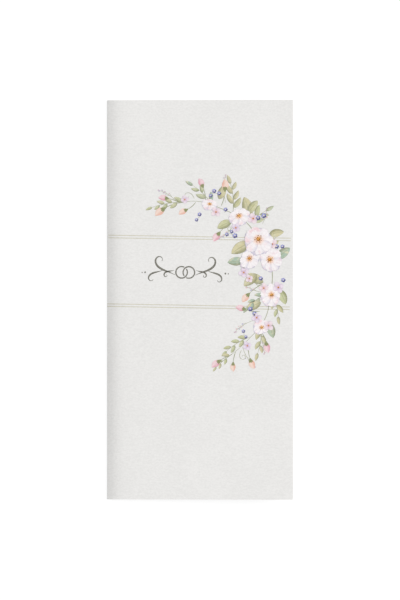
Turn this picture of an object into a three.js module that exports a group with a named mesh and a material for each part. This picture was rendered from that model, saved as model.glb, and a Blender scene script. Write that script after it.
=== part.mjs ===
import * as THREE from "three";

// A long slim greeting card: one sheet of thick felt-marked card, creased once
// down its left side and lying on its back panel. The crease springs a little, so
// the front panel swells up beside the fold and then leans up to its free edge.
// Millimetres, +Z up. +Y is the top of the card, +X its free edge, and the origin
// is the middle of the card on the surface that it lies on.

// Driving dimensions
const CARD_WIDTH = 100; // from the fold to the free edge
const CARD_HEIGHT = 215; // along the fold
const SHEET_THICKNESS = 0.4;
const FOLD_INNER_RADIUS = 0.1; // of the bend, inside the crease
const FRONT_LEAN = THREE.MathUtils.degToRad(2.7); // of the front panel, away from the fold
const SWELL_HEIGHT = 1.5; // how far the front panel springs up beside the fold
const SWELL_LENGTH = 4.6; // the swell dies away by a factor of e in this length
const FOLD_STEPS = 16; // flat faces round the bend
const SWELL_STEPS = 24; // flat faces along the swell
const SWELL_REACH = 5; // in swell lengths: the panel is straight past this

// The bend touches the table and the plane of the card's left side.
const foldOuterRadius = FOLD_INNER_RADIUS + SHEET_THICKNESS;
const foldMiddleRadius = FOLD_INNER_RADIUS + SHEET_THICKNESS / 2;
const foldCentre = new THREE.Vector2(-CARD_WIDTH / 2 + foldOuterRadius, foldOuterRadius);

// Slope of the front panel, at a distance from where it leaves the bend.
const slopeAt = (run) => Math.tan(FRONT_LEAN) + (SWELL_HEIGHT / SWELL_LENGTH) * Math.exp(-run / SWELL_LENGTH);

// Where the front panel leaves the bend, on the middle of the sheet.
const startAngle = Math.atan(slopeAt(0));
const panelStart = new THREE.Vector2(-Math.sin(startAngle), Math.cos(startAngle))
  .multiplyScalar(foldMiddleRadius)
  .add(foldCentre);

// The free edge is cut square to the sheet, with its lower corner over the back panel's edge.
const panelRun = CARD_WIDTH / 2 - (SHEET_THICKNESS / 2) * Math.sin(FRONT_LEAN) - panelStart.x;

// A point of the front panel, half a thickness to one side of the sheet's middle.
function frontPoint(run, side) {
  const rise = run * Math.tan(FRONT_LEAN) + SWELL_HEIGHT * (1 - Math.exp(-run / SWELL_LENGTH));
  const angle = Math.atan(slopeAt(run));
  const out = (side * SHEET_THICKNESS) / 2;
  return new THREE.Vector2(
    panelStart.x + run - out * Math.sin(angle),
    panelStart.y + rise + out * Math.cos(angle),
  );
}

// One side of the front panel, from the bend to the free edge. The steps widen
// as the swell flattens out, and the last one is the straight rest of the panel.
function frontSide(side) {
  const points = [];
  for (let i = 1; i <= SWELL_STEPS; i++) {
    const share = i / SWELL_STEPS;
    points.push(frontPoint(SWELL_REACH * SWELL_LENGTH * share * share, side));
  }
  points.push(frontPoint(panelRun, side));
  return points;
}

// One side of the bend, from the back panel round to the front panel.
function foldSide(radius) {
  const turn = Math.PI - startAngle;
  const points = [];
  for (let i = 0; i <= FOLD_STEPS; i++) {
    const angle = -Math.PI / 2 - (turn * i) / FOLD_STEPS;
    points.push(new THREE.Vector2(Math.cos(angle), Math.sin(angle)).multiplyScalar(radius).add(foldCentre));
  }
  return points;
}

// The card's section, seen from its foot: out along the back panel, round the
// bend and along the front panel, and back along the inside.
function cardSection() {
  const outside = [new THREE.Vector2(CARD_WIDTH / 2, 0), ...foldSide(foldOuterRadius), ...frontSide(1)];
  const inside = [
    new THREE.Vector2(CARD_WIDTH / 2, SHEET_THICKNESS),
    ...foldSide(FOLD_INNER_RADIUS),
    ...frontSide(-1),
  ];
  return new THREE.Shape([...outside, ...inside.reverse()]);
}

// The section runs the whole height of the card.
function foldedCard() {
  const geometry = new THREE.ExtrudeGeometry(cardSection(), { depth: CARD_HEIGHT, bevelEnabled: false });
  geometry.rotateX(Math.PI / 2);
  const offWhiteCard = new THREE.MeshStandardMaterial({ color: 0xe9e9e6, roughness: 0.85, metalness: 0 });
  const mesh = new THREE.Mesh(geometry, offWhiteCard);
  mesh.name = "folded_card";
  mesh.position.y = CARD_HEIGHT / 2;
  return mesh;
}

const card = new THREE.Group();
card.add(foldedCard());

export default card;
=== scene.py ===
import math
import random

import bpy
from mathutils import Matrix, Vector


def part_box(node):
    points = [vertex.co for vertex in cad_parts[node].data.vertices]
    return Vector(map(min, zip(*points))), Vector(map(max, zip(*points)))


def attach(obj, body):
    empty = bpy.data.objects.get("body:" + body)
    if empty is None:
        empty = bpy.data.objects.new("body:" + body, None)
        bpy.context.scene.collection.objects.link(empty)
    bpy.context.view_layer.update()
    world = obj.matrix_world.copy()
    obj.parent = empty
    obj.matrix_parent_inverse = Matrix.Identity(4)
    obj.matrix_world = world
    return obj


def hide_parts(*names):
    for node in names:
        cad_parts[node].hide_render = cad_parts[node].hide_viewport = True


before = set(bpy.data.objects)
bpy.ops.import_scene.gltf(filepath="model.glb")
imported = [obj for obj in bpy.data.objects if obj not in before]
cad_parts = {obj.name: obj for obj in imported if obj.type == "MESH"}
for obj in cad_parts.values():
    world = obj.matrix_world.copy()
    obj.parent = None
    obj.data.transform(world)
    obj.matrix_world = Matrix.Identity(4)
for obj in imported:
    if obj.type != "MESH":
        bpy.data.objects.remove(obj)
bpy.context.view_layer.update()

# The card: one sheet of thick off-white card, cut square, scored and folded once
# down its left side, and laid on its back panel. The fold has sprung a little, so
# the cover swells up beside it and then leans up to its free edge.
MM = 0.001
card_low, card_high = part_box("folded_card")
card_left, card_foot, table_level = card_low
card_right, card_head = card_high[:2]
sheet_thickness = 0.4 * MM
fold_inner_radius = 0.1 * MM
cover_lean = math.radians(2.7)
swell_height = 1.3 * MM
swell_length = 4.6 * MM
head_swell_share = 0.72  # the fold is pressed flatter at the head of the card
head_fade_start = 0.45  # the share of the card's height where that begins
foot_swell_share = 0.86
foot_fade_end = 0.12
cockle_height = 0.12 * MM  # how far the free edge waves up and down
cockle_length = 150 * MM
cockle_phase = 0.9
swell_reach = 5 * swell_length  # the cover is straight past this
fold_steps = 24
swell_steps = 40
swell_step_spread = 1.5  # the steps widen as the swell flattens out
flat_steps = 10
back_steps = 8
card_rows = 43
cut_edge_round = 0.04 * MM
cut_edge_border = 0.12 * MM  # keeps the rounding of a cut edge off the flat panels
cut_edge_angle = math.radians(50)
smooth_angle = math.radians(40)

fold_outer_radius = fold_inner_radius + sheet_thickness
fold_middle_radius = fold_inner_radius + sheet_thickness / 2
fold_x = card_left + fold_outer_radius
fold_z = table_level + fold_outer_radius


def swell_at(y):
    """How high the cover swells beside the fold, at a height on the card."""
    share = (y - card_foot) / (card_head - card_foot)
    foot_share = foot_swell_share + (1 - foot_swell_share) * min(1, share / foot_fade_end)
    head_fade = max(0, share - head_fade_start) / (1 - head_fade_start)
    return swell_height * foot_share * (1 - (1 - head_swell_share) * head_fade)


def cover_slope(run, y):
    """How steeply the cover rises, at a distance from where it leaves the bend."""
    return math.tan(cover_lean) + swell_at(y) / swell_length / math.cosh(run / swell_length) ** 2


def cover_middle(run, y):
    """The middle of the cover's sheet, as x and z, at a distance from the bend."""
    leaving = math.atan(cover_slope(0, y))
    x = fold_x - fold_middle_radius * math.sin(leaving) + run
    rise = run * math.tan(cover_lean) + swell_at(y) * math.tanh(run / swell_length)
    cockle = cockle_height * (run / (card_right - card_left)) ** 2
    rise += cockle * (math.sin(math.tau * y / cockle_length + cockle_phase) - 1)
    return x, fold_z + fold_middle_radius * math.cos(leaving) + rise


def cover_height(x, y):
    """The height of the cover's printed face over a point of the table."""
    leaving = math.atan(cover_slope(0, y))
    if x < fold_x - fold_outer_radius * math.sin(leaving):
        reach = min(fold_outer_radius, fold_x - x)
        return fold_z + math.sqrt(fold_outer_radius**2 - reach**2)
    run = x - fold_x + fold_middle_radius * math.sin(leaving)
    run += sheet_thickness / 2 * math.sin(math.atan(cover_slope(run, y)))
    return cover_middle(run, y)[1] + sheet_thickness / 2 * math.cos(math.atan(cover_slope(run, y)))


def sheet_stations(y):
    """The middle of the sheet, from the back panel's free edge round to the cover's."""
    bottom = table_level + sheet_thickness / 2
    stations = [(card_right, bottom)]
    for i in range(back_steps):
        start = card_right - cut_edge_border
        stations.append((start + (fold_x - start) * i / back_steps, bottom))
    leaving = math.atan(cover_slope(0, y))
    for i in range(fold_steps):
        angle = -math.pi / 2 - (math.pi - leaving) * i / fold_steps
        x = fold_x + fold_middle_radius * math.cos(angle)
        z = fold_z + fold_middle_radius * math.sin(angle)
        stations.append((x, z))
    for i in range(swell_steps):
        stations.append(cover_middle(swell_reach * (i / swell_steps) ** swell_step_spread, y))
    full_run = card_right - sheet_thickness / 2 * math.sin(cover_lean) - cover_middle(0, y)[0]
    flat_length = full_run - cut_edge_border - swell_reach
    for i in range(flat_steps + 1):
        stations.append(cover_middle(swell_reach + flat_length * i / flat_steps, y))
    stations.append(cover_middle(full_run, y))
    return stations


def row_height(share):
    """The height on the card of a row of the sheet's mesh, from its share of the rows."""
    row = round(share * card_rows)
    if row in (0, card_rows):
        return card_head if row else card_foot
    inner = (row - 1) / (card_rows - 2)
    return card_foot + cut_edge_border + (card_head - card_foot - 2 * cut_edge_border) * inner


def apply_modifiers(piece):
    """Make a piece's modifiers part of its mesh."""
    bpy.ops.object.select_all(action="DESELECT")
    bpy.context.view_layer.objects.active = piece
    piece.select_set(True)
    for modifier in list(piece.modifiers):
        bpy.ops.object.modifier_apply(modifier=modifier.name)


card_columns = back_steps + fold_steps + swell_steps + flat_steps + 2
bpy.ops.object.select_all(action="DESELECT")
bpy.ops.mesh.primitive_grid_add(x_subdivisions=card_columns, y_subdivisions=card_rows, size=1)
card = bpy.context.object
card.name = "card_sheet"
for vertex in card.data.vertices:
    y = row_height(vertex.co.y + 0.5)
    x, z = sheet_stations(y)[round((vertex.co.x + 0.5) * card_columns)]
    vertex.co = (x, y, z)
thickness = card.modifiers.new("thickness", "SOLIDIFY")
thickness.thickness = sheet_thickness
thickness.offset = 0
thickness.use_even_offset = True
cut_edges = card.modifiers.new("cut_edges", "BEVEL")
cut_edges.width = cut_edge_round
cut_edges.segments = 2
cut_edges.limit_method = "ANGLE"
cut_edges.angle_limit = cut_edge_angle
apply_modifiers(card)
bpy.ops.object.mode_set(mode="EDIT")
bpy.ops.mesh.select_all(action="SELECT")
bpy.ops.mesh.normals_make_consistent(inside=False)
bpy.ops.object.mode_set(mode="OBJECT")
bpy.ops.object.shade_smooth_by_angle(angle=smooth_angle)


def paint(red, green, blue):
    """A colour from a paint chart, 0 to 255, as a shader takes it."""
    return tuple(((part / 255 + 0.055) / 1.055) ** 2.4 for part in (red, green, blue)) + (1,)


def join_up(tree, value, socket):
    """Feed a socket from another socket, or set it to a number or colour."""
    if isinstance(value, bpy.types.NodeSocket):
        tree.links.new(value, socket)
    else:
        socket.default_value = value


def calculate(tree, operation, *values):
    """The result of one sum on numbers and sockets."""
    node = tree.nodes.new("ShaderNodeMath")
    node.operation = operation
    for value, socket in zip(values, node.inputs):
        join_up(tree, value, socket)
    return node.outputs[0]


def fade(tree, value, start, end):
    """A mask that goes smoothly from 0 at one value to 1 at another."""
    node = tree.nodes.new("ShaderNodeMapRange")
    node.interpolation_type = "SMOOTHSTEP"
    join_up(tree, value, node.inputs["Value"])
    node.inputs["From Min"].default_value = start
    node.inputs["From Max"].default_value = end
    return node.outputs["Result"]


def blend_colours(tree, share, first, second, way="MIX"):
    """Two colours blended, with the share that the second one takes."""
    node = tree.nodes.new("ShaderNodeMix")
    node.data_type = "RGBA"
    node.blend_type = way
    join_up(tree, share, node.inputs[0])
    join_up(tree, first, node.inputs[6])
    join_up(tree, second, node.inputs[7])
    return node.outputs[2]


def mottle(tree, stretch, detail, distortion=0.0):
    """Noise over the card, with so many blots to the metre along x, y and z."""
    place = tree.nodes.new("ShaderNodeTexCoord")
    mapping = tree.nodes.new("ShaderNodeMapping")
    mapping.inputs["Scale"].default_value = stretch
    noise = tree.nodes.new("ShaderNodeTexNoise")
    noise.inputs["Scale"].default_value = 1
    noise.inputs["Detail"].default_value = detail
    noise.inputs["Distortion"].default_value = distortion
    tree.links.new(place.outputs["Object"], mapping.inputs["Vector"])
    tree.links.new(mapping.outputs["Vector"], noise.inputs["Vector"])
    return noise.outputs["Fac"]


# The face of the card: pressed with a woven felt while it was wet, so it has
# fine wavy ripples across it, short fibres, and a faint cloudy look-through. Its
# cut edges show the duller, unpressed core. Its tone follows the fibres and the
# cloud, and also the ripples' relief as painted shade: lighter on their crests,
# darker in their troughs. The inks take the same tone, painted shade included.
paper_light = paint(238, 237, 235)
paper_dark = paint(229, 228, 226)
bare_core = paint(212, 208, 200)
# the share of the ripples' relief that is painted into the tone as shade
ripple_painted_shade = 0.5
fibre_share = 1.1
cloud_share = 0.4
fibre_relief = 0.25
# the inks darken and lighten with the paper's tone, painted ripple shade included
grain_and_shade_dark = (0.94, 0.94, 0.94, 1)
grain_and_shade_light = (1.06, 1.06, 1.06, 1)
least_roughness = 0.74
fibre_roughness = 0.16
felt_relief = 0.045 * MM
edge_facing = 0.3  # how far a face leans outwards to count as a cut edge

felt_face = bpy.data.node_groups.new("felt_marked_face", "ShaderNodeTree")
felt_face.interface.new_socket("Ink", in_out="INPUT", socket_type="NodeSocketColor")
felt_face.interface.new_socket("Cover", in_out="INPUT", socket_type="NodeSocketFloat")
felt_face.interface.new_socket("Colour", in_out="OUTPUT", socket_type="NodeSocketColor")
felt_face.interface.new_socket("Roughness", in_out="OUTPUT", socket_type="NodeSocketFloat")
felt_face.interface.new_socket("Height", in_out="OUTPUT", socket_type="NodeSocketFloat")
face_inputs = felt_face.nodes.new("NodeGroupInput")
face_outputs = felt_face.nodes.new("NodeGroupOutput")
ripple = mottle(felt_face, (330, 760, 330), detail=2, distortion=0.7)
fibre = mottle(felt_face, (850, 1200, 850), detail=2)
cloud = mottle(felt_face, (48, 36, 48), detail=2)
relief = calculate(felt_face, "MULTIPLY_ADD", fibre, fibre_relief, ripple)
# painted shade: the ripples' relief, lighter on the crests and darker in the troughs, mixed with the real
# fibre and cloud tone
mottle_and_painted_shade = calculate(felt_face, "MULTIPLY", ripple, ripple_painted_shade)
mottle_and_painted_shade = calculate(felt_face, "MULTIPLY_ADD", fibre, fibre_share, mottle_and_painted_shade)
mottle_and_painted_shade = calculate(felt_face, "MULTIPLY_ADD", cloud, cloud_share, mottle_and_painted_shade)
mottle_and_painted_shade = fade(felt_face, mottle_and_painted_shade, 0.6, 1.4)
paper_colour = blend_colours(felt_face, mottle_and_painted_shade, paper_dark, paper_light)
ink_grain_and_shade = blend_colours(felt_face, mottle_and_painted_shade, grain_and_shade_dark, grain_and_shade_light)
grained_and_shaded_ink = blend_colours(felt_face, 1.0, face_inputs.outputs["Ink"], ink_grain_and_shade, way="MULTIPLY")
face_colour = blend_colours(felt_face, face_inputs.outputs["Cover"], paper_colour, grained_and_shaded_ink)
felt_face.links.new(face_colour, face_outputs.inputs["Colour"])
roughness = calculate(felt_face, "MULTIPLY_ADD", fibre, fibre_roughness, least_roughness)
felt_face.links.new(roughness, face_outputs.inputs["Roughness"])
felt_face.links.new(relief, face_outputs.inputs["Height"])


def face_material(name):
    """A matt material on the felt-marked face, and the sockets for its ink."""
    material = bpy.data.materials.new(name)
    material.use_nodes = True
    tree = material.node_tree
    shader = tree.nodes["Principled BSDF"]
    shader.inputs["Specular IOR Level"].default_value = 0.25
    face = tree.nodes.new("ShaderNodeGroup")
    face.node_tree = felt_face
    face.inputs["Cover"].default_value = 0
    bump = tree.nodes.new("ShaderNodeBump")
    bump.inputs["Strength"].default_value = 1
    bump.inputs["Distance"].default_value = felt_relief
    tree.links.new(face.outputs["Colour"], shader.inputs["Base Color"])
    tree.links.new(face.outputs["Roughness"], shader.inputs["Roughness"])
    tree.links.new(face.outputs["Height"], bump.inputs["Height"])
    tree.links.new(bump.outputs["Normal"], shader.inputs["Normal"])
    return material, tree, face


card_paper, card_tree, card_face = face_material("off_white_felt_card")
card_face.inputs["Ink"].default_value = bare_core
cut_mark = card_tree.nodes.new("ShaderNodeAttribute")
cut_mark.attribute_name = "cut_edge"
card_tree.links.new(cut_mark.outputs["Fac"], card_face.inputs["Cover"])
card.data.materials.append(card_paper)
cut_faces = card.data.attributes.new("cut_edge", "FLOAT", "FACE")
for face, mark in zip(card.data.polygons, cut_faces.data):
    at_free_edge = face.normal.x > edge_facing and face.center.x > card_right - cut_edge_border
    at_head_or_foot = abs(face.normal.y) > edge_facing
    mark.value = 1 if at_free_edge or at_head_or_foot else 0
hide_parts("folded_card")
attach(card, "root")


# The printing: inks laid on the cover in thin flat shapes, one over another. The
# whole print stands a degree askew on the card, as the press left it. Places in
# it are in millimetres from the middle of the card.
print_turn = math.radians(-1.0)
ink_lift = 0.02 * MM
ink_step = 0.006 * MM
weld_distance = 0.0005 * MM
ink_break = 0.18  # how far the felt marks thin an ink


def print_place(x, y):
    """A point of the print, as a place on the card in metres."""
    card_x = x * math.cos(print_turn) - y * math.sin(print_turn)
    card_y = x * math.sin(print_turn) + y * math.cos(print_turn)
    return card_x * MM, card_y * MM


def ink_shape(across, along, outline, layer=0, tint=0.5):
    """One flat shape of ink. The outline gives its points from u and v, 0 to 1."""
    bpy.ops.mesh.primitive_grid_add(x_subdivisions=across, y_subdivisions=along, size=1)
    shape = bpy.context.object
    for vertex in shape.data.vertices:
        x, y = print_place(*outline(vertex.co.x + 0.5, vertex.co.y + 0.5))
        vertex.co = (x, y, cover_height(x, y) + ink_lift + layer * ink_step)
    shape.data.update()
    if sum(face.normal.z * face.area for face in shape.data.polygons) < 0:
        shape.data.flip_normals()
    tints = shape.data.attributes.new("tint", "FLOAT", "POINT")
    for point in tints.data:
        point.value = tint
    return shape


def finish_print(name, shapes, material):
    """Join the shapes of one kind of print into one piece of the card."""
    bpy.ops.object.select_all(action="DESELECT")
    for shape in shapes:
        shape.select_set(True)
    bpy.context.view_layer.objects.active = shapes[0]
    bpy.ops.object.join()
    piece = bpy.context.object
    piece.name = name
    bpy.ops.object.mode_set(mode="EDIT")
    bpy.ops.mesh.select_all(action="SELECT")
    bpy.ops.mesh.remove_doubles(threshold=weld_distance)
    bpy.ops.object.mode_set(mode="OBJECT")
    bpy.ops.object.shade_smooth()
    piece.data.materials.clear()
    piece.data.materials.append(material)
    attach(piece, "root")


def flat_ink(name, colour):
    """An ink of one colour, a little broken by the felt marks."""
    material, tree, face = face_material(name)
    face.inputs["Ink"].default_value = colour
    speckle = fade(tree, mottle(tree, (1900, 1900, 1900), detail=1), 0.25, 0.6)
    cover = calculate(tree, "MULTIPLY_ADD", speckle, ink_break, 1 - ink_break)
    tree.links.new(cover, face.inputs["Cover"])
    return material


# The rules: two pairs of fine pale olive lines that run across the cover from
# the fold nearly to the free edge, with a bare band between them.
rule_heights = [33.95, 32.55, -3.05, -4.43]
rule_width = 0.42
rule_end = 48.3
rule_start = (card_left / MM + 0.05) / math.cos(print_turn)
rule_steps = 90


def rule_outline(height):
    """A rule's outline. Its steps are short at the fold, where the cover curves."""

    def outline(u, v):
        return rule_start + (rule_end - rule_start) * v**2, height + (u - 0.5) * rule_width

    return outline


rules = [ink_shape(1, rule_steps, rule_outline(height)) for height in rule_heights]
finish_print("print_rules", rules, flat_ink("pale_olive_ink", paint(208, 204, 185)))


# The ornament in the middle of the band: a pair of linked wedding rings between
# two scrolls, drawn with a broad pen in grey-brown ink.
ornament_middle = (-8.2, 14.6)
ring_radius = 3.1
ring_offset = 1.95
ring_stroke = 0.72
ring_gap = math.radians(13)


def ribbon(path, width_at):
    """The outline of a pen stroke along a path of points and headings."""

    def outline(u, v):
        x, y, heading = path[round(v * (len(path) - 1))]
        side = (u - 0.5) * width_at(v)
        return x - side * math.sin(heading), y + side * math.cos(heading)

    return outline


def sweep(start, heading, length, turn_at, steps):
    """A path from a start, whose heading changes as it goes."""
    x, y = start
    path = [(x, y, heading + turn_at(0))]
    for i in range(steps):
        middle_heading = heading + turn_at((i + 0.5) / steps)
        x += length / steps * math.cos(middle_heading)
        y += length / steps * math.sin(middle_heading)
        path.append((x, y, heading + turn_at((i + 1) / steps)))
    return path


def pen_stroke(path, width, layer=0, tint=0.5, swell=0.5, thin=0.25):
    """A stroke that is thin at both ends and broadest at one share of its length."""

    def width_at(v):
        share = v / swell if v < swell else (1 - v) / (1 - swell)
        return width * (thin + (1 - thin) * math.sin(share * math.pi / 2) ** 1.5)

    return ink_shape(1, len(path) - 1, ribbon(path, width_at), layer, tint)


def dot(x, y, width, layer=0, tint=0.5, height=None, sides=4):
    """A round blot of ink."""
    height = height or width

    def outline(u, v):
        across, up = 2 * u - 1, 2 * v - 1
        round_x = across * math.sqrt(1 - up * up / 2)
        round_y = up * math.sqrt(1 - across * across / 2)
        return x + round_x * width / 2, y + round_y * height / 2

    return ink_shape(sides, sides, outline, layer, tint)


ornament = []
for side in (-1, 1):
    ring_x = ornament_middle[0] + side * ring_offset
    crossing = math.acos(ring_offset / ring_radius)
    gap_at = crossing if side < 0 else math.pi + crossing
    arc = math.tau - 2 * ring_gap
    ring_start = (
        ring_x + ring_radius * math.cos(gap_at + ring_gap),
        ornament_middle[1] + ring_radius * math.sin(gap_at + ring_gap),
    )
    ring_path = sweep(ring_start, gap_at + ring_gap + math.pi / 2, arc * ring_radius, lambda v: arc * v, 60)
    ornament.append(pen_stroke(ring_path, ring_stroke, thin=0.9))


def scroll(side, start, heading, length, coil, width, swell=0.45):
    """A scroll beside the rings, which coils up towards its far end."""
    x = ornament_middle[0] + side * start[0]
    y = ornament_middle[1] + start[1]
    first = heading if side > 0 else math.pi - heading
    path = sweep((x, y), first, length, lambda v: side * (coil[0] * v + coil[1] * v**3), 64)
    return pen_stroke(path, width, swell=swell, thin=0.22)


for side in (-1, 1):
    ornament.append(scroll(side, (5.6, -1.4), math.radians(28), 20.5, (-0.9, 5.9), 1.12))
    ornament.append(scroll(side, (5.9, 1.1), math.radians(-20), 9.6, (1.2, -6.6), 0.84))
    ornament.append(scroll(side, (12.2, 0.9), math.radians(-22), 13.0, (0.9, -5.2), 0.94))
    ornament.append(dot(ornament_middle[0] + side * 21.6, ornament_middle[1] - 0.3, 0.95))
    ornament.append(dot(ornament_middle[0] + side * 23.2, ornament_middle[1] - 0.4, 0.6))
grey_brown_ink = flat_ink("grey_brown_ink", paint(115, 113, 103))
finish_print("print_rings_and_scrolls", ornament, grey_brown_ink)


# The garland: a half wreath of watercolour flowers that curves round the right
# end of the band. It grows from one bent stem, thick in the middle and fine at
# its two tails, and every sprig, bud and flower is placed along that stem.
garland_middle = (-4.8, 8.6)
garland_radius = 43.8
stem_head = 106
stem_foot = -63
chance = random.Random(11)


def on_garland(degrees, outward=0.0):
    """A point beside the garland's stem, by its angle and distance outwards."""
    angle = math.radians(degrees)
    reach = garland_radius + outward
    return garland_middle[0] + reach * math.cos(angle), garland_middle[1] + reach * math.sin(angle)


def arc_path(start, degrees, length, curl, steps=14):
    """A path that sets off at an angle and curls evenly, in degrees in all."""
    return sweep(start, math.radians(degrees), length, lambda v: math.radians(curl) * v, steps)


stems = []
stem_sweep = math.radians(stem_head - stem_foot)
stem_path = sweep(
    on_garland(stem_foot),
    math.radians(stem_foot + 90),
    stem_sweep * garland_radius,
    lambda v: stem_sweep * v + 0.1 * math.sin(9 * math.pi * v),
    72,
)
stems.append(pen_stroke(stem_path, 0.46, swell=0.5, thin=0.4, tint=0.6))
leaves = []


def leaf_layer():
    """The next leaf's layer, so that no two leaves that cross lie in one plane."""
    return 1 + 0.5 * (len(leaves) % 8)


def blade(start, degrees, length, width, curl=0.0, fullness=0.4, layer=1, tint=0.5, across=4, along=8):
    """A leaf-shaped blade: broadest at one share of its length, pointed at its tip."""
    path = arc_path(start, degrees, length, curl, along)
    tip_power = 0.85
    base_power = tip_power * fullness / (1 - fullness)
    peak = fullness**base_power * (1 - fullness) ** tip_power

    def width_at(v):
        return width * v**base_power * (1 - v) ** tip_power / peak

    return ink_shape(across, along, ribbon(path, width_at), layer, tint)


def sprig(degrees, outward, heading, length, curl, count, leaf_length, tint):
    """A side shoot with leaves by turns on either side and one at its tip."""
    path = arc_path(on_garland(degrees, outward), heading, length, curl)
    stems.append(pen_stroke(path, 0.34, swell=0.2, thin=0.4, tint=tint))
    for i in range(count):
        share = 0.16 + 0.76 * i / count
        x, y, along = path[round(share * (len(path) - 1))]
        side = 1 if i % 2 else -1
        size = leaf_length * (1 - 0.35 * share) * chance.uniform(0.88, 1.1)
        lean = math.degrees(along) + side * chance.uniform(36, 54)
        leaf_tint = tint + chance.uniform(-0.18, 0.18)
        leaves.append(blade((x, y), lean, size, size * 0.42, -side * 26, 0.44, leaf_layer(), leaf_tint, 6, 9))
    x, y, along = path[-1]
    size = leaf_length * 0.7
    leaves.append(blade((x, y), math.degrees(along), size, size * 0.4, 8, 0.42, leaf_layer(), tint))


sprig(61, 1.0, 84, 15.0, 24, 5, 7.4, 0.30)
sprig(76, 0.0, 124, 15.0, 24, 4, 6.6, 0.85)
sprig(94, 0.0, 178, 19.0, 22, 6, 5.6, 0.55)
sprig(47, 2.0, 48, 10.5, -20, 3, 7.0, 0.75)
sprig(25, 2.0, 72, 8.0, -24, 2, 5.8, 0.20)
sprig(-7, -3.0, 204, 12.0, 24, 4, 6.0, 0.90)
sprig(-8, 1.0, -66, 11.0, -20, 3, 6.4, 0.40)
sprig(-30, 0.0, -84, 15.0, -24, 4, 6.4, 0.25)
sprig(-41, -1.0, -160, 15.0, 24, 5, 5.6, 0.65)
sprig(-59, 0.0, -146, 11.0, 14, 4, 4.4, 0.45)


def broad_leaf(degrees, outward, heading, length, tint, curl=16):
    """A single broad leaf that spreads from under a flower."""
    start = on_garland(degrees, outward)
    leaves.append(blade(start, heading, length, length * 0.52, curl, 0.46, leaf_layer(), tint, 8, 12))


broad_leaf(50, 4.0, 100, 11.0, 0.15, 14)
broad_leaf(52, 5.0, 62, 8.4, 0.45, -16)
broad_leaf(33, 5.5, 22, 8.2, 0.30, -18)
broad_leaf(36, -5.5, 204, 11.5, 0.10)
broad_leaf(17, 4.0, 48, 9.4, 0.95, -14)
broad_leaf(9, -8.0, 216, 9.6, 0.30, 14)
broad_leaf(24, -13.0, 178, 9.0, 0.90, 14)
broad_leaf(2, -5.0, 160, 9.6, 0.35, -20)
broad_leaf(-3, 3.6, -58, 8.6, 0.60, -16)
broad_leaf(-14, -5.0, 200, 9.0, 0.20, 18)
broad_leaf(-26, 2.6, -64, 8.6, 0.80, -14)
broad_leaf(58, -4.0, 196, 8.6, 0.50, 22)
broad_leaf(73, 4.0, 62, 8.2, 0.15, 18)


def tendril(degrees, outward, heading, length, coil, tint):
    """A hair-thin stem that winds up at its end."""
    path = sweep(
        on_garland(degrees, outward), math.radians(heading), length, lambda v: math.radians(coil) * v * v, 30
    )
    stems.append(pen_stroke(path, 0.28, swell=0.15, thin=0.5, layer=2, tint=tint))


tendril(89, 2.0, 116, 11.0, 330, 0.9)
tendril(54, -5.0, 250, 9.0, -380, 0.4)
tendril(7, -6.5, 214, 11.0, 400, 0.5)
tendril(-36, 4.0, -30, 8.0, -360, 0.9)
tendril(-52, 1.0, -118, 11.0, 380, 0.6)


def tinted_ink(name, recipe):
    """An ink whose colour and cover a recipe works out from u, v and the tint."""
    material, tree, face = face_material(name)
    uv = tree.nodes.new("ShaderNodeUVMap")
    uv.uv_map = "UVMap"
    split = tree.nodes.new("ShaderNodeSeparateXYZ")
    tree.links.new(uv.outputs["UV"], split.inputs[0])
    tint = tree.nodes.new("ShaderNodeAttribute")
    tint.attribute_name = "tint"
    colour, cover = recipe(tree, split.outputs["X"], split.outputs["Y"], tint.outputs["Fac"])
    join_up(tree, colour, face.inputs["Ink"])
    join_up(tree, cover, face.inputs["Cover"])
    return material


def off_middle(tree, u):
    """The distance from the midrib of a shape, 0 to a half."""
    return calculate(tree, "ABSOLUTE", calculate(tree, "SUBTRACT", u, 0.5))


def part(tree, share, mask):
    """A share of a mask."""
    return calculate(tree, "MULTIPLY", mask, share)


def leaf_recipe(tree, u, v, tint):
    """Khaki through yellow-green to sea green, dark down one side and at the base."""
    wash = mottle(tree, (520, 520, 520), detail=2)
    colour = blend_colours(tree, fade(tree, tint, 0.3, 0.6), paint(208, 200, 155), paint(198, 202, 155))
    colour = blend_colours(tree, fade(tree, tint, 0.6, 0.9), colour, paint(168, 189, 168))
    colour = blend_colours(tree, fade(tree, wash, 0.48, 0.72), colour, paint(213, 209, 170))
    colour = blend_colours(tree, part(tree, 0.7, fade(tree, u, 0.5, 0.95)), colour, paint(116, 119, 72))
    colour = blend_colours(tree, part(tree, 0.5, fade(tree, v, 0.4, 0.0)), colour, paint(104, 114, 80))
    rib = part(tree, 0.5, fade(tree, off_middle(tree, u), 0.07, 0.02))
    colour = blend_colours(tree, rib, colour, paint(146, 146, 100))
    rim = part(tree, 0.45, fade(tree, off_middle(tree, u), 0.42, 0.49))
    colour = blend_colours(tree, rim, colour, paint(132, 122, 88))
    return colour, calculate(tree, "MULTIPLY_ADD", wash, -0.4, 1.07)


finish_print("print_leaves", leaves, tinted_ink("olive_leaf_ink", leaf_recipe))


# The open flowers: eight broad pleated petals round a golden eye, white washed
# with pink, over a second ring of petals in lilac-grey shade. They are painted
# over the leaves, the biggest in the middle.
petal_count = 8
anther_count = 15
anther_tints = (0.1, 0.75, 1.0, 1.0)
petals = []
shade_petals = []
eyes = []


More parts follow.
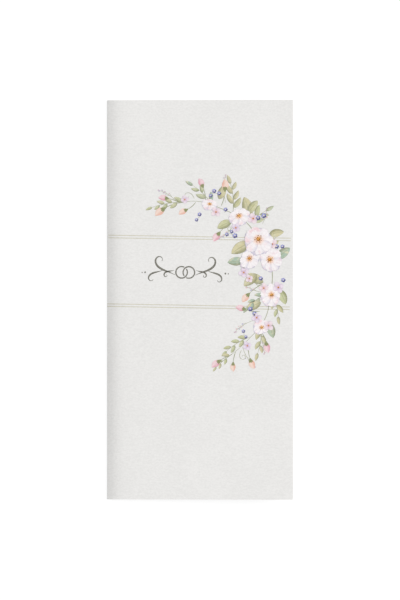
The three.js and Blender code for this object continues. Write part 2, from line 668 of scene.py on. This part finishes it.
def petal(centre, degrees, length, width, tilt, layer, tint):
    """A broad petal with a wavy tip. The tilt is a share of height and a heading."""
    share, heading = tilt[0], math.radians(tilt[1])
    angle = math.radians(degrees)
    notch = chance.uniform(0.03, 0.08)
    skew = chance.uniform(-0.1, 0.1)

    def outline(u, v):
        a = 2 * u - 1
        flare = (0.14 + 0.86 * math.sin(math.pi / 2 * v**0.85)) * (1 - 0.2 * v**6)
        lobes = v * v * (0.14 * a * a + skew * a + notch * (1 - math.cos(3 * math.pi * a)) / 2)
        along = length * (0.05 + 0.95 * v) * (1 - lobes)
        across = a * width / 2 * flare
        x = along * math.cos(angle) - across * math.sin(angle)
        y = along * math.sin(angle) + across * math.cos(angle)
        near = x * math.cos(heading) + y * math.sin(heading)
        squeeze = 1 - share * (0.86 if near > 0 else 1.1)
        x -= squeeze * near * math.cos(heading)
        y -= squeeze * near * math.sin(heading)
        return centre[0] + x, centre[1] + y

    return ink_shape(8, 8, outline, layer, tint)


def open_flower(degrees, outward, size, turn, tilt, layer=8):
    """A whole flower on the garland, its petals laid by turns under and over."""
    centre = on_garland(degrees, outward)
    shade_centre = (centre[0] - size * 0.015, centre[1] - size * 0.035)
    for i in range(petal_count):
        direction = turn + 360 / petal_count * i + chance.uniform(-5, 5)
        length = size / 2 * chance.uniform(0.9, 1.06)
        width = size * chance.uniform(0.34, 0.39)
        shade_petals.append(
            petal(shade_centre, direction + 22, length * 0.98, width, tilt, layer - 2 + i % 2, 0.5)
        )
        shade = 0.5 - 0.5 * math.sin(math.radians(direction + 15)) + chance.uniform(-0.15, 0.15)
        petals.append(petal(centre, direction, length, width, tilt, layer + i % 2, shade))
    eye_size = size * 0.135
    eyes.append(dot(*centre, eye_size, layer + 2, 0.4, height=eye_size * tilt[0]))
    for i in range(anther_count):
        reach = eye_size * (0.3 + 0.75 * ((i * 7) % anther_count) / anther_count)
        direction = math.radians(360 / anther_count * i + chance.uniform(-8, 8))
        x = centre[0] + reach * math.cos(direction)
        y = centre[1] + reach * math.sin(direction) * tilt[0]
        anther_size = size * chance.uniform(0.028, 0.046)
        anther_tint = chance.choice(anther_tints)
        eyes.append(dot(x, y, anther_size, layer + 3, anther_tint, sides=2))


open_flower(34.5, -0.5, 16.8, 8, (0.94, 60), layer=18)
open_flower(18, 0.2, 14.6, 30, (0.86, 200))
open_flower(24.5, -9.8, 12.6, 12, (0.84, 150), layer=12)
open_flower(-7, -0.2, 12.6, 0, (0.90, 20))
open_flower(56, 0.8, 12.4, 20, (0.78, 110))
open_flower(-31, 0.8, 10.0, 10, (0.80, -60))
open_flower(78, 0.2, 9.2, 0, (0.70, 80))


def petal_recipe(tree, u, v, tint):
    """White, blushed in patches, warm at the eye, with pale pleats and a shaded rim."""
    wash = mottle(tree, (300, 300, 300), detail=3)
    blush = calculate(tree, "MULTIPLY", fade(tree, v, 0.25, 0.85), fade(tree, wash, 0.49, 0.72))
    colour = blend_colours(tree, blush, paint(248, 243, 244), paint(244, 212, 217))
    pleat = calculate(tree, "ABSOLUTE", calculate(tree, "SUBTRACT", off_middle(tree, u), 0.17))
    pleat = part(tree, 0.22, fade(tree, pleat, 0.06, 0.01))
    colour = blend_colours(tree, pleat, colour, paint(226, 208, 214))
    shadow = calculate(tree, "MULTIPLY", fade(tree, u, 0.55, 1.0), fade(tree, tint, -0.3, 1.2))
    colour = blend_colours(tree, part(tree, 0.7, shadow), colour, paint(212, 208, 222))
    warm = part(tree, 0.8, fade(tree, v, 0.42, 0.08))
    colour = blend_colours(tree, warm, colour, paint(242, 194, 164))
    rim = calculate(tree, "MAXIMUM", fade(tree, off_middle(tree, u), 0.44, 0.5), fade(tree, v, 0.93, 1.0))
    rim = calculate(tree, "MULTIPLY", rim, fade(tree, tint, -0.2, 1.1))
    rim = calculate(tree, "MULTIPLY", rim, fade(tree, wash, 0.25, 0.6))
    return blend_colours(tree, rim, colour, paint(198, 192, 206)), 1.0


def shade_petal_recipe(tree, u, v, tint):
    """A thin lilac-grey wash, pooled at the tips."""
    wash = mottle(tree, (420, 420, 420), detail=2)
    colour = blend_colours(tree, fade(tree, wash, 0.35, 0.65), paint(214, 208, 222), paint(236, 222, 228))
    return blend_colours(tree, part(tree, 0.7, fade(tree, v, 0.88, 1.0)), colour, paint(186, 184, 202)), 1.0


def eye_recipe(tree, u, v, tint):
    """Gold for the eye, rusty at its foot, and ochre to dark brown for the anthers."""
    colour = blend_colours(tree, fade(tree, tint, 0.3, 0.9), paint(222, 160, 88), paint(130, 88, 42))
    colour = blend_colours(tree, fade(tree, tint, 0.2, 0.0), colour, paint(244, 214, 140))
    return blend_colours(tree, part(tree, 0.6, fade(tree, v, 0.5, 0.1)), colour, paint(176, 118, 58)), 1.0


# The florets: little four-petalled flowers of pale lilac pink, in twos and threes
# between the big ones.
floret_petals = []


def floret(degrees, outward, size, turn, tint, layer=12):
    """One small flower of four pointed petals with a dot for its eye."""
    centre = on_garland(degrees, outward)
    for i in range(4):
        direction = turn + 90 * i + chance.uniform(-7, 7)
        length = size / 2 * chance.uniform(0.9, 1.08)
        shape = blade(centre, direction, length, size * 0.44, 0, 0.58, layer + i % 2, tint, 6, 8)
        floret_petals.append(shape)
    eyes.append(dot(*centre, size * 0.16, layer + 2, 0.3, sides=3))
    eyes.append(dot(centre[0] + size * 0.03, centre[1] - size * 0.03, size * 0.08, layer + 3, 1.0, sides=2))


floret(47.5, 4.5, 6.4, 20, 0.30)
floret(52.5, -5.4, 5.4, 60, 0.80)
floret(27.0, 4.6, 6.2, 45, 0.20)
floret(13.0, -15.0, 5.8, 10, 0.70)
floret(6.0, -12.5, 4.6, 30, 0.40)
floret(-1.5, 3.0, 6.4, 30, 0.65)
floret(-2.5, -4.8, 5.4, 0, 0.15)
floret(-26.5, -4.2, 5.6, 15, 0.75)
floret(-27.5, 3.4, 6.0, 50, 0.30)
floret(72.0, -3.0, 5.6, 40, 0.30)
floret(-47.0, 1.2, 5.0, 25, 0.80)
floret(95.5, 1.6, 4.8, 10, 0.60)


def floret_recipe(tree, u, v, tint):
    """Pale pink to lilac, deeper towards the eye, with a fine darker rim."""
    tip = blend_colours(tree, tint, paint(243, 226, 226), paint(230, 220, 236))
    base = blend_colours(tree, tint, paint(234, 186, 192), paint(204, 180, 214))
    colour = blend_colours(tree, fade(tree, v, 0.65, 0.0), tip, base)
    colour = blend_colours(tree, part(tree, 0.4, fade(tree, u, 0.55, 1.0)), colour, paint(204, 190, 212))
    rim = part(tree, 0.55, fade(tree, off_middle(tree, u), 0.41, 0.5))
    return blend_colours(tree, rim, colour, paint(200, 178, 194)), 1.0


# The buds: furled peach and rose petals in a green cup, on fine curling stems at
# the tails of the garland and inside its curve.
bud_petals = []
cups = []


def bud(degrees, outward, heading, stem_length, curl, size, tint):
    """A bud at the end of its own fine stem."""
    path = arc_path(on_garland(degrees, outward), heading, stem_length, curl)
    stems.append(pen_stroke(path, 0.34, swell=0.3, thin=0.45, layer=2, tint=0.3))
    x, y, along = path[-1]
    ahead = math.degrees(along)
    for side in (-1, 1):
        layer = 5 + side / 4
        outer = blade((x, y), ahead + side * 15, size, size * 0.5, -side * 34, 0.52, layer, tint, 6, 10)
        bud_petals.append(outer)
    bud_petals.append(blade((x, y), ahead, size * 1.05, size * 0.46, 8, 0.56, 6, tint + 0.04, 6, 10))
    for lean in (-32, 0, 32):
        layer = 7 + lean / 64
        sepal = blade((x, y), ahead + lean, size * 0.4, size * 0.18, -lean * 0.5, 0.4, layer, 0.15, 3, 5)
        cups.append(sepal)
    cups.append(dot(x, y, size * 0.2, 8, 0.3, sides=3))


bud(104, 0, 198, 5.0, 16, 6.2, 0.15)
bud(99, 0, 148, 7.0, 24, 5.0, 0.85)
bud(88, 0, 236, 6.0, -30, 5.0, 0.20)
bud(70, 1, 66, 8.5, 22, 6.0, 0.25)
bud(81, 1, 92, 8.0, 20, 5.0, 0.80)
bud(57, -4, 206, 9.0, 26, 5.6, 0.90)
bud(1, -5, 204, 9.5, 24, 5.6, 0.20)
bud(-21, -4, 186, 8.0, -24, 5.2, 0.85)
bud(-34, 2, -44, 6.0, -36, 5.6, 0.75)
bud(-46, 1, -92, 8.0, 22, 5.4, 0.15)
bud(-62, 0, -158, 5.0, 14, 5.6, 0.80)
bud(-56, 0, -112, 6.0, 20, 4.6, 0.25)


def bud_recipe(tree, u, v, tint):
    """Peach or rose, deeper down one side and at the cup."""
    wash = mottle(tree, (420, 420, 420), detail=2)
    rosy = fade(tree, tint, 0.45, 0.7)
    light = blend_colours(tree, rosy, paint(242, 218, 206), paint(240, 213, 217))
    deep = blend_colours(tree, rosy, paint(232, 184, 166), paint(224, 166, 180))
    colour = blend_colours(tree, fade(tree, u, 0.3, 1.0), light, deep)
    colour = blend_colours(tree, part(tree, 0.5, fade(tree, wash, 0.45, 0.7)), colour, light)
    colour = blend_colours(tree, part(tree, 0.5, fade(tree, v, 0.5, 0.05)), colour, deep)
    rim = part(tree, 0.6, fade(tree, off_middle(tree, u), 0.42, 0.5))
    return blend_colours(tree, rim, colour, deep), 1.0


def green_recipe(tree, u, v, tint):
    """Olive to grey-green, for stems and cups."""
    return blend_colours(tree, fade(tree, tint, 0.1, 0.8), paint(136, 142, 92), paint(178, 180, 156)), 0.95


# The forget-me-nots: clusters of tiny periwinkle flowers with a pale eye, the
# darkest dots of the print.
tiny_petals = []
golden_angle = 137.5  # between one flower of a cluster and the next


def forget_me_not(x, y, size, turn, layer=12):
    """One tiny flower of five round petals, darker on one side."""
    for i in range(5):
        direction = math.radians(turn + 72 * i)
        petal_x = x + size * 0.29 * math.cos(direction)
        petal_y = y + size * 0.29 * math.sin(direction)
        petal_tint = 0.5 + 0.5 * math.cos(direction - 2.2)
        tiny_petals.append(dot(petal_x, petal_y, size * 0.44, layer + i % 3, petal_tint, sides=4))
    tiny_petals.append(dot(x, y, size * 0.26, layer + 3, 2.0, sides=3))


def cluster(degrees, outward, spread, count, size):
    """A loose cluster of tiny flowers, each on a hair of a stem."""
    x, y = on_garland(degrees, outward)
    for i in range(count):
        direction = golden_angle * i + degrees
        reach = spread * math.sqrt((i + 0.4) / count)
        path = arc_path((x, y), direction, reach, 12, 6)
        stems.append(pen_stroke(path, 0.2, thin=0.6, layer=2, tint=0.5))
        forget_me_not(*path[-1][:2], size * chance.uniform(0.8, 1.15), direction)


cluster(53.0, -9.5, 3.0, 3, 2.4)
cluster(44.0, 8.4, 2.8, 2, 2.5)
cluster(23.0, 8.0, 2.6, 2, 2.4)
cluster(5.0, -8.0, 2.6, 1, 2.2)
cluster(3.0, 4.2, 2.4, 1, 2.6)
cluster(-24.5, -7.4, 2.8, 2, 2.4)
cluster(-43.5, -4.0, 2.8, 2, 2.2)
cluster(77.0, 6.4, 3.2, 3, 2.4)
cluster(84.0, -7.5, 2.8, 2, 2.2)
cluster(66.0, -1.5, 2.6, 1, 2.2)


def tiny_recipe(tree, u, v, tint):
    """Periwinkle, deep blue on the far side, with a pale yellow eye."""
    colour = blend_colours(tree, fade(tree, tint, 0.15, 0.95), paint(92, 92, 142), paint(176, 178, 224))
    colour = blend_colours(tree, part(tree, 0.4, fade(tree, v, 0.4, 1.0)), colour, paint(128, 130, 184))
    return blend_colours(tree, fade(tree, tint, 1.4, 1.6), colour, paint(242, 234, 208)), 1.0


# The misty sprays: hair-thin stems that fork into specks of pale rose and grey,
# scattered past the leaves so that the garland has no hard edge.
specks = []
spray_steps = 16


def spray(degrees, outward, heading, length, curl, forks):
    """A fine stem with short forks, each with a speck at its tip."""
    path = arc_path(on_garland(degrees, outward), heading, length, curl, spray_steps)
    stems.append(pen_stroke(path, 0.24, swell=0.2, thin=0.5, tint=0.8))
    for i in range(forks):
        share = 0.3 + 0.7 * i / forks
        x, y, along = path[round(share * spray_steps)]
        side = 1 if i % 2 else -1
        lean = math.degrees(along) + side * chance.uniform(26, 44)
        fork = arc_path((x, y), lean, length * 0.2 * (1.25 - share), -side * 30, 6)
        stems.append(pen_stroke(fork, 0.17, thin=0.6, tint=0.9))
        specks.append(dot(*fork[-1][:2], chance.uniform(0.6, 0.95), 2, chance.random(), sides=3))
    specks.append(dot(*path[-1][:2], 0.8, 2, 0.5, sides=3))


spray(101, 1.0, 134, 12, 30, 6)
spray(68, 3.5, 106, 15, -30, 7)
spray(55, -4.5, 240, 12, -36, 6)
spray(28, -6.0, 226, 12, 30, 6)
spray(-6, -5.0, 174, 11, -30, 5)
spray(-30, -5.0, 196, 12, 34, 6)
spray(-35, 1.0, -60, 12, -30, 6)
spray(-50, 0.0, -74, 13, 34, 6)
spray(41, 6.0, 62, 9, 26, 5)


def speck_recipe(tree, u, v, tint):
    """Specks from pale rose to grey-violet."""
    return blend_colours(tree, tint, paint(230, 192, 192), paint(186, 182, 206)), 0.9


finish_print("print_stems", stems, tinted_ink("green_stem_ink", green_recipe))
finish_print("print_shaded_petals", shade_petals, tinted_ink("lilac_shade_ink", shade_petal_recipe))
finish_print("print_petals", petals, tinted_ink("blush_petal_ink", petal_recipe))
finish_print("print_florets", floret_petals, tinted_ink("lilac_floret_ink", floret_recipe))
finish_print("print_buds", bud_petals, tinted_ink("peach_bud_ink", bud_recipe))
finish_print("print_cups", cups, tinted_ink("green_cup_ink", green_recipe))
finish_print("print_forget_me_nots", tiny_petals, tinted_ink("periwinkle_ink", tiny_recipe))
finish_print("print_specks", specks, tinted_ink("misty_ink", speck_recipe))
finish_print("print_eyes", eyes, tinted_ink("golden_eye_ink", eye_recipe))


# The stage: a plain white table that keeps the card's shadow, one soft lamp high
# on the right, and a camera far overhead that looks straight down on the cover.
table_size = 4
table_drop = 0.05 * MM  # keeps the table clear of the card's back
seen_table = (0.26, 0.26, 0.26, 1)
unseen_table = (0.8, 0.8, 0.8, 1)
table_glow_level = 0.80


def seen_rays(tree):
    """1 for the rays that show the background: to the camera, mirrored or let through."""
    light_path = tree.nodes.new("ShaderNodeLightPath")
    mirrored = light_path.outputs["Is Glossy Ray"]
    let_through = light_path.outputs["Is Transmission Ray"]
    seen = calculate(tree, "MAXIMUM", light_path.outputs["Is Camera Ray"], mirrored)
    return calculate(tree, "MAXIMUM", seen, let_through)


bpy.ops.object.select_all(action="DESELECT")
bpy.ops.mesh.primitive_plane_add(size=table_size, location=(0, 0, table_level - table_drop))
table = bpy.context.object
table.name = "table"
table_white = bpy.data.materials.new("table_white")
table_white.use_nodes = True
table_tree = table_white.node_tree
table_shader = table_tree.nodes["Principled BSDF"]
table_shader.inputs["Roughness"].default_value = 0.9
table_shader.inputs["Specular IOR Level"].default_value = 0.1
table_shader.inputs["Emission Color"].default_value = (1, 1, 1, 1)
seen = seen_rays(table_tree)
table_colour = blend_colours(table_tree, seen, unseen_table, seen_table)
table_tree.links.new(table_colour, table_shader.inputs["Base Color"])
table_glow = calculate(table_tree, "MULTIPLY", seen, table_glow_level)
table_tree.links.new(table_glow, table_shader.inputs["Emission Strength"])
table.data.materials.append(table_white)

world = bpy.data.worlds.new("studio")
bpy.context.scene.world = world
world.use_nodes = True
sky = world.node_tree
background = sky.nodes["Background"]
background.inputs["Color"].default_value = (1, 1, 1, 1)
fill_level = 0.60
sky_strength = calculate(sky, "MULTIPLY_ADD", seen_rays(sky), 1 - fill_level, fill_level)
sky.links.new(sky_strength, background.inputs["Strength"])

lamp_tilt = math.radians(60)
lamp_azimuth = math.radians(15)
lamp_strength = 2.68
lamp_spread = math.radians(40)
bpy.ops.object.light_add(type="SUN", rotation=(0, lamp_tilt, lamp_azimuth))
lamp = bpy.context.object
lamp.name = "soft_lamp"
lamp.data.energy = lamp_strength
lamp.data.angle = lamp_spread

frame_height = 323.0 * MM  # what the view takes in, from top to bottom
lens = 250
sensor_height = 36
cover_level = 4 * MM
camera_distance = frame_height * lens / sensor_height
camera_place = (0, -0.13 * MM, cover_level + camera_distance)
bpy.ops.object.camera_add(location=camera_place, rotation=(0, 0, 0))
camera = bpy.context.object
camera.data.lens = lens
camera.data.sensor_width = sensor_height
camera.data.clip_end = 100
camera.data.dof.use_dof = False
bpy.context.scene.camera = camera
bpy.context.scene.view_settings.view_transform = "Standard"
